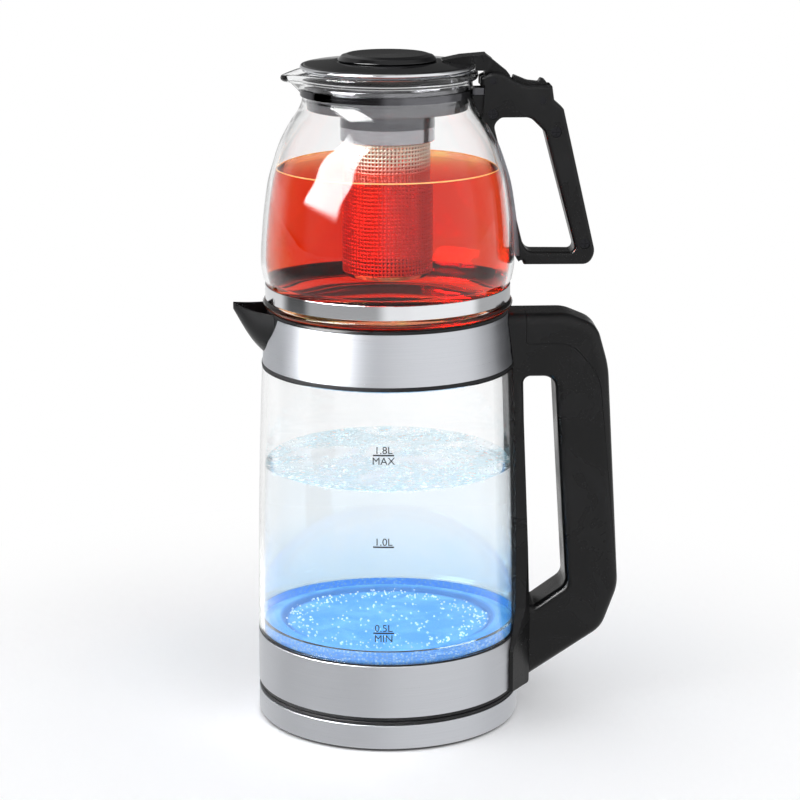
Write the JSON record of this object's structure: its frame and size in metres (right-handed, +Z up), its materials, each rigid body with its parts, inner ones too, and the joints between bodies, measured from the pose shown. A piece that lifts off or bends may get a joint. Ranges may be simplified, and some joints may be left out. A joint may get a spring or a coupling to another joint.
{
  "type": "automatic tea maker",
  "caption": "Electric glass kettle on a round corded power base, with a lidded glass teapot and steel leaf basket seated in its mouth.",
  "frame": {"origin": "centre of the power base's underside plate, on the axis of the jug and the teapot", "axes": "+Z up along that axis, +X towards both handles, -X towards both spouts"},
  "size_m": [0.2207, 0.1524, 0.3836],
  "materials": {
    "black_plastic": "satin moulded black plastic",
    "white_plastic": "moulded heat-resistant plastic",
    "brushed_steel": "brushed around the axis",
    "polished_steel": "polished",
    "perforated_steel": "fine round holes",
    "filter_mesh": "woven mesh",
    "screw_steel": "dark plated",
    "element_sheath": "sheathed tube",
    "aluminium_plate": "plain rolled",
    "brass_contact": "plain",
    "black_rubber": "smooth silicone seal",
    "rubber_foot": "matte",
    "grey_silicone": "translucent smooth",
    "clear_glass": "clear heat-resistant glass",
    "clear_acrylic": "beaded clear ring",
    "led_board": "printed board with blue lamps"
  },
  "bodies": {
    "power_base": {"base_housing": "black_plastic", "base_band": "brushed_steel", "base_deck": "black_plastic", "base_screws": "screw_steel", "base_feet": "rubber_foot", "base_connector": "black_plastic", "base_contacts": "brass_contact", "cable_inlet": "rubber_foot"},
    "kettle": {"kettle_base_shell": "black_plastic", "kettle_lower_band": "brushed_steel", "plate_carrier": "black_plastic", "lower_gasket": "black_rubber", "light_ring": "clear_acrylic", "heating_plate": "polished_steel", "heat_spreader": "aluminium_plate", "heating_element": "element_sheath", "control_unit": "white_plastic", "socket_contacts": "brass_contact", "led_ring": "led_board", "glass_jug": "clear_glass", "upper_gasket": "black_rubber", "steel_collar": "brushed_steel", "kettle_rim": "black_plastic", "kettle_spout": "black_plastic", "spout_filter": "filter_mesh", "kettle_handle_shell": "black_plastic", "kettle_handle_cover": "black_plastic", "back_strip": "black_plastic", "kettle_handle_screws": "screw_steel"},
    "power_rocker": {"power_rocker": "black_plastic"},
    "teapot": {"pot_glass": "clear_glass", "pot_band": "polished_steel", "pot_handle_near": "black_plastic", "pot_handle_far": "black_plastic", "pot_handle_screws": "screw_steel", "pot_leg_pad": "grey_silicone", "neck_strap": "polished_steel", "neck_bracket": "black_plastic", "lid_hinge_pin": "screw_steel", "lever_pin": "screw_steel"},
    "thumb_lever": {"thumb_lever": "black_plastic"},
    "pot_lid": {"lid_shell": "black_plastic", "lid_trim": "polished_steel", "lid_seal": "grey_silicone", "lid_knob": "black_plastic", "lid_arm": "black_plastic"},
    "infuser": {"infuser_skirt": "polished_steel", "infuser_cup": "polished_steel", "infuser_basket": "perforated_steel", "infuser_bottom": "perforated_steel"}
  },
  "joints": [
    {"name": "kettle_lift", "type": "slide", "parent": "power_base", "child": "kettle", "axis": [0, 0, 1], "range_m": [0, 0.08]},
    {"name": "rocker_tip", "type": "hinge", "parent": "kettle", "child": "power_rocker", "pos_m": [0.12821, 0, 0.094], "axis": [0, 1, 0], "range_deg": [0, 11]},
    {"name": "teapot_lift", "type": "slide", "parent": "kettle", "child": "teapot", "axis": [0, 0, 1], "range_m": [0, 0.08]},
    {"name": "lid_hinge", "type": "hinge", "parent": "teapot", "child": "pot_lid", "pos_m": [0.0582, 0, 0.3678], "axis": [0, 1, 0], "range_deg": [0, 70]},
    {"name": "lever_press", "type": "hinge", "parent": "teapot", "child": "thumb_lever", "pos_m": [0.0862, 0, 0.3566], "axis": [0, 1, 0], "range_deg": [-22, 0]},
    {"name": "infuser_lift", "type": "slide", "parent": "teapot", "child": "infuser", "axis": [0, 0, 1], "range_m": [0, 0.006]}
  ],
  "couplings": [
    {"joint": "lever_press", "follows": "lid_hinge", "ratio": -0.3}
  ]
}
